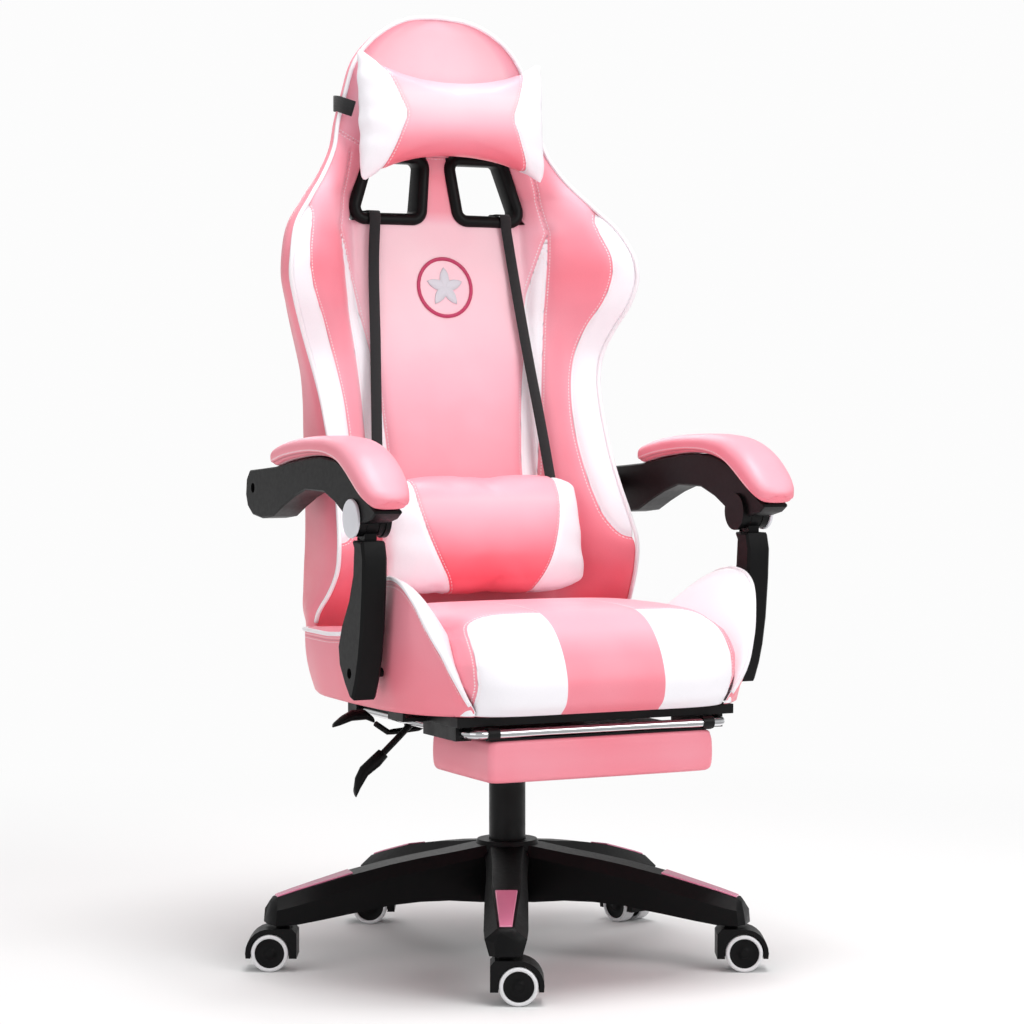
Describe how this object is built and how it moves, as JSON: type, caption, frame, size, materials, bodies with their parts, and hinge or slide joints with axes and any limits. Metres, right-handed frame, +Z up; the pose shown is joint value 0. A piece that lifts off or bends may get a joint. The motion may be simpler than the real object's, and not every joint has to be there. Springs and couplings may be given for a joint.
{
  "type": "gaming chair",
  "caption": "Racing-style swivel chair on a five-star caster base, with reclining back, linked armrests, pillows and a pull-out footrest.",
  "frame": {"origin": "on the floor, at the middle of the footprint", "axes": "+Z up, the sitter faces -Y, the sitter's left hand is +X"},
  "size_m": [0.6782, 0.6803, 1.303],
  "materials": {
    "black_plastic": "fine moulded texture, semi matt",
    "black_steel": "satin black powder coat",
    "chrome": "polished",
    "wheel_grey": "satin nylon",
    "pink_trim": "gloss",
    "pink_leather": "grained synthetic leather, satin",
    "pale_leather": "grained synthetic leather, satin",
    "white_leather": "grained synthetic leather, satin",
    "webbing": "woven webbing",
    "grey_cap": "satin moulded plastic"
  },
  "bodies": {
    "base": {"star_base": "black_plastic", "leg_trim_1": "pink_trim", "leg_trim_2": "pink_trim", "leg_trim_3": "pink_trim", "leg_trim_4": "pink_trim", "leg_trim_5": "pink_trim", "lift_tube": "black_steel", "lift_guide_bush": "black_plastic"},
    "lift_rod": {"piston_rod": "chrome"},
    "seat": {"lift_cylinder": "chrome", "mechanism_housing": "black_steel", "seat_pan": "black_steel", "seat_cushion": "pale_leather", "seat_bolster_left": "white_leather", "seat_bolster_right": "white_leather", "footrest_rail_left": "black_steel", "footrest_rail_right": "black_steel"},
    "back": {"back_frame": "black_steel", "back_upholstery": "pink_leather", "headrest_bezel_left": "black_plastic", "headrest_bezel_right": "black_plastic", "arm_stud_left": "black_steel", "arm_stud_right": "black_steel", "lumbar_pillow": "pink_leather", "head_pillow": "pale_leather", "head_strap": "webbing", "lumbar_strap_left": "webbing", "lumbar_strap_right": "webbing"},
    "arm_upright_left": {"arm_upright_left": "black_plastic"},
    "arm_upright_right": {"arm_upright_right": "black_plastic"},
    "arm_left": {"arm_body_left": "black_plastic", "arm_pad_left": "pale_leather", "elbow_cap_left": "grey_cap"},
    "arm_right": {"arm_body_right": "black_plastic", "arm_pad_right": "pale_leather", "elbow_cap_right": "grey_cap"},
    "footrest_frame": {"footrest_bar": "chrome"},
    "footrest_pad": {"footrest_pad": "pink_leather", "footrest_hinge": "black_steel"},
    "height_lever": {"height_lever": "black_steel", "height_lever_grip": "black_plastic"},
    "release_pin": {"release_pin": "chrome"},
    "recline_lever": {"recline_lever": "black_steel", "recline_lever_grip": "black_plastic"},
    "caster_1": {"caster_1_fork": "black_plastic"},
    "caster_1_wheel_a": {"caster_1_wheel_a": "wheel_grey"},
    "caster_1_wheel_b": {"caster_1_wheel_b": "wheel_grey"},
    "caster_2": {"caster_2_fork": "black_plastic"},
    "caster_2_wheel_a": {"caster_2_wheel_a": "wheel_grey"},
    "caster_2_wheel_b": {"caster_2_wheel_b": "wheel_grey"},
    "caster_3": {"caster_3_fork": "black_plastic"},
    "caster_3_wheel_a": {"caster_3_wheel_a": "wheel_grey"},
    "caster_3_wheel_b": {"caster_3_wheel_b": "wheel_grey"},
    "caster_4": {"caster_4_fork": "black_plastic"},
    "caster_4_wheel_a": {"caster_4_wheel_a": "wheel_grey"},
    "caster_4_wheel_b": {"caster_4_wheel_b": "wheel_grey"},
    "caster_5": {"caster_5_fork": "black_plastic"},
    "caster_5_wheel_a": {"caster_5_wheel_a": "wheel_grey"},
    "caster_5_wheel_b": {"caster_5_wheel_b": "wheel_grey"}
  },
  "joints": [
    {"name": "seat_swivel", "type": "hinge", "parent": "base", "child": "lift_rod", "pos_m": [0.0271, -0.0141, 0.2], "axis": [0, 0, 1], "continuous": true},
    {"name": "seat_lift", "type": "slide", "parent": "lift_rod", "child": "seat", "axis": [0, 0, 1], "range_m": [-0.045, 0.055]},
    {"name": "back_recline", "type": "hinge", "parent": "seat", "child": "back", "pos_m": [0.0271, 0.1359, 0.408], "axis": [-1, 0, 0], "range_deg": [0, 45]},
    {"name": "footrest_slide", "type": "slide", "parent": "seat", "child": "footrest_frame", "axis": [0, -1, 0], "range_m": [0, 0.3]},
    {"name": "footrest_flip", "type": "hinge", "parent": "footrest_frame", "child": "footrest_pad", "pos_m": [0.0271, -0.2891, 0.34], "axis": [-1, 0, 0], "range_deg": [0, 180]},
    {"name": "height_lever_lift", "type": "hinge", "parent": "seat", "child": "height_lever", "pos_m": [-0.0429, -0.0141, 0.341], "axis": [0, 1, 0], "range_deg": [0, 4], "stiffness_Nm_per_rad": 20},
    {"name": "release_pin_press", "type": "slide", "parent": "seat", "child": "release_pin", "axis": [0, 0, -1], "range_m": [0, 0.005]},
    {"name": "recline_lever_lift", "type": "hinge", "parent": "seat", "child": "recline_lever", "pos_m": [-0.1329, -0.0591, 0.334], "axis": [0, 1, 0], "range_deg": [0, 20], "stiffness_Nm_per_rad": 2},
    {"name": "arm_upright_left_tilt", "type": "hinge", "parent": "seat", "child": "arm_upright_left", "pos_m": [0.3081, -0.1661, 0.412], "axis": [-1, 0, 0], "range_deg": [0, 49]},
    {"name": "arm_left_tilt", "type": "hinge", "parent": "arm_upright_left", "child": "arm_left", "pos_m": [0.3081, -0.1851, 0.61], "axis": [-1, 0, 0], "range_deg": [-43, 0]},
    {"name": "arm_upright_right_tilt", "type": "hinge", "parent": "seat", "child": "arm_upright_right", "pos_m": [-0.2539, -0.1661, 0.412], "axis": [-1, 0, 0], "range_deg": [0, 49]},
    {"name": "arm_right_tilt", "type": "hinge", "parent": "arm_upright_right", "child": "arm_right", "pos_m": [-0.2539, -0.1851, 0.61], "axis": [-1, 0, 0], "range_deg": [-43, 0]},
    {"name": "caster_1_swivel", "type": "hinge", "parent": "base", "child": "caster_1", "pos_m": [-0.11247, -0.29649, 0.07], "axis": [0, 0, 1], "continuous": true},
    {"name": "caster_1_wheel_a_roll", "type": "hinge", "parent": "caster_1", "child": "caster_1_wheel_a", "pos_m": [-0.09809, -0.30351, 0.025], "axis": [0.4384, 0.8988, 0], "continuous": true},
    {"name": "caster_1_wheel_b_roll", "type": "hinge", "parent": "caster_1", "child": "caster_1_wheel_b", "pos_m": [-0.09809, -0.30351, 0.025], "axis": [0.4384, 0.8988, 0], "continuous": true},
    {"name": "caster_2_swivel", "type": "hinge", "parent": "base", "child": "caster_2", "pos_m": [0.25254, -0.2341, 0.07], "axis": [0, 0, 1], "continuous": true},
    {"name": "caster_2_wheel_a_roll", "type": "hinge", "parent": "caster_2", "child": "caster_2_wheel_a", "pos_m": [0.26692, -0.24111, 0.025], "axis": [0.4384, 0.8988, 0], "continuous": true},
    {"name": "caster_2_wheel_b_roll", "type": "hinge", "parent": "caster_2", "child": "caster_2_wheel_b", "pos_m": [0.26692, -0.24111, 0.025], "axis": [0.4384, 0.8988, 0], "continuous": true},
    {"name": "caster_3_swivel", "type": "hinge", "parent": "base", "child": "caster_3", "pos_m": [0.306, 0.13233, 0.07], "axis": [0, 0, 1], "continuous": true},
    {"name": "caster_3_wheel_a_roll", "type": "hinge", "parent": "caster_3", "child": "caster_3_wheel_a", "pos_m": [0.30186, 0.14778, 0.025], "axis": [-0.9659, -0.2588, 0], "continuous": true},
    {"name": "caster_3_wheel_b_roll", "type": "hinge", "parent": "caster_3", "child": "caster_3_wheel_b", "pos_m": [0.30186, 0.14778, 0.025], "axis": [-0.9659, -0.2588, 0], "continuous": true},
    {"name": "caster_4_swivel", "type": "hinge", "parent": "base", "child": "caster_4", "pos_m": [-0.02597, 0.2964, 0.07], "axis": [0, 0, 1], "continuous": true},
    {"name": "caster_4_wheel_a_roll", "type": "hinge", "parent": "caster_4", "child": "caster_4_wheel_a", "pos_m": [-0.04035, 0.30341, 0.025], "axis": [-0.4384, -0.8988, 0], "continuous": true},
    {"name": "caster_4_wheel_b_roll", "type": "hinge", "parent": "caster_4", "child": "caster_4_wheel_b", "pos_m": [-0.04035, 0.30341, 0.025], "axis": [-0.4384, -0.8988, 0], "continuous": true},
    {"name": "caster_5_swivel", "type": "hinge", "parent": "base", "child": "caster_5", "pos_m": [-0.2846, 0.03137, 0.07], "axis": [0, 0, 1], "continuous": true},
    {"name": "caster_5_wheel_a_roll", "type": "hinge", "parent": "caster_5", "child": "caster_5_wheel_a", "pos_m": [-0.29898, 0.03839, 0.025], "axis": [-0.4384, -0.8988, 0], "continuous": true},
    {"name": "caster_5_wheel_b_roll", "type": "hinge", "parent": "caster_5", "child": "caster_5_wheel_b", "pos_m": [-0.29898, 0.03839, 0.025], "axis": [-0.4384, -0.8988, 0], "continuous": true}
  ],
  "couplings": [
    {"joint": "footrest_flip", "follows": "footrest_slide", "rad_per_m": 10.472},
    {"joint": "release_pin_press", "follows": "height_lever_lift", "m_per_rad": 0.07},
    {"joint": "arm_upright_left_tilt", "follows": "back_recline", "ratio": 1.08},
    {"joint": "arm_left_tilt", "follows": "back_recline", "ratio": -0.94},
    {"joint": "arm_upright_right_tilt", "follows": "back_recline", "ratio": 1.08},
    {"joint": "arm_right_tilt", "follows": "back_recline", "ratio": -0.94}
  ]
}
